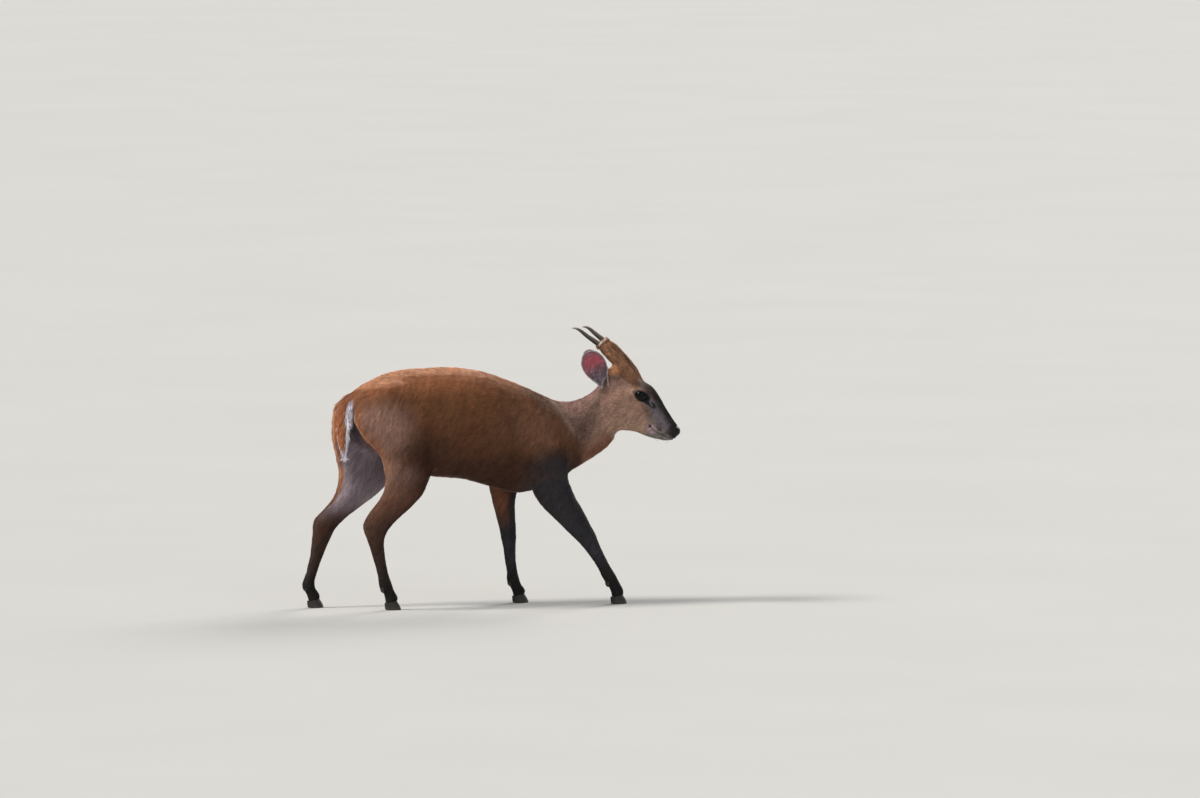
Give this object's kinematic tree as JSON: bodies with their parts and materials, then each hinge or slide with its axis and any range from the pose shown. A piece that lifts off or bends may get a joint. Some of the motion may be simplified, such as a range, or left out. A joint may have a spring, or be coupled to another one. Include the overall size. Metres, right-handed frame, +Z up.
{
  "type": "muntjac",
  "caption": "Life-size muntjac buck in mid stride, head held low and turned slightly right, with short spiked antlers on long haired pedicles.",
  "frame": {"origin": "on the floor, under the middle of the model's box", "axes": "+X forwards, the way the buck walks; +Y to the animal's left; +Z up, with the floor at z = 0"},
  "size_m": [0.9162, 0.2248, 0.6811],
  "materials": {
    "coat": "short dense orange-brown fur",
    "dark_coat": "short dark brown to black fur",
    "horn": "worn black horn, faintly glossy",
    "antler": "grey-brown antler, ridged at the base and polished at the tip",
    "eye": "wet dark eye"
  },
  "bodies": {
    "root": {"torso": "coat", "neck": "coat", "head": "coat", "ear_right": "coat", "ear_left": "coat", "tail": "coat", "eye_right": "eye", "eye_left": "eye", "antler_right": "antler", "antler_left": "antler", "fore_right_upper": "coat", "fore_right_lower": "dark_coat", "fore_right_hoof_outer": "horn", "fore_right_hoof_inner": "horn", "fore_right_dewclaw_outer": "horn", "fore_right_dewclaw_inner": "horn", "fore_left_upper": "coat", "fore_left_lower": "dark_coat", "fore_left_hoof_outer": "horn", "fore_left_hoof_inner": "horn", "fore_left_dewclaw_outer": "horn", "fore_left_dewclaw_inner": "horn", "hind_right_upper": "coat", "hind_right_lower": "dark_coat", "hind_right_hoof_outer": "horn", "hind_right_hoof_inner": "horn", "hind_right_dewclaw_outer": "horn", "hind_right_dewclaw_inner": "horn", "hind_left_upper": "coat", "hind_left_lower": "dark_coat", "hind_left_hoof_outer": "horn", "hind_left_hoof_inner": "horn", "hind_left_dewclaw_outer": "horn", "hind_left_dewclaw_inner": "horn"}
  },
  "joints": []
}
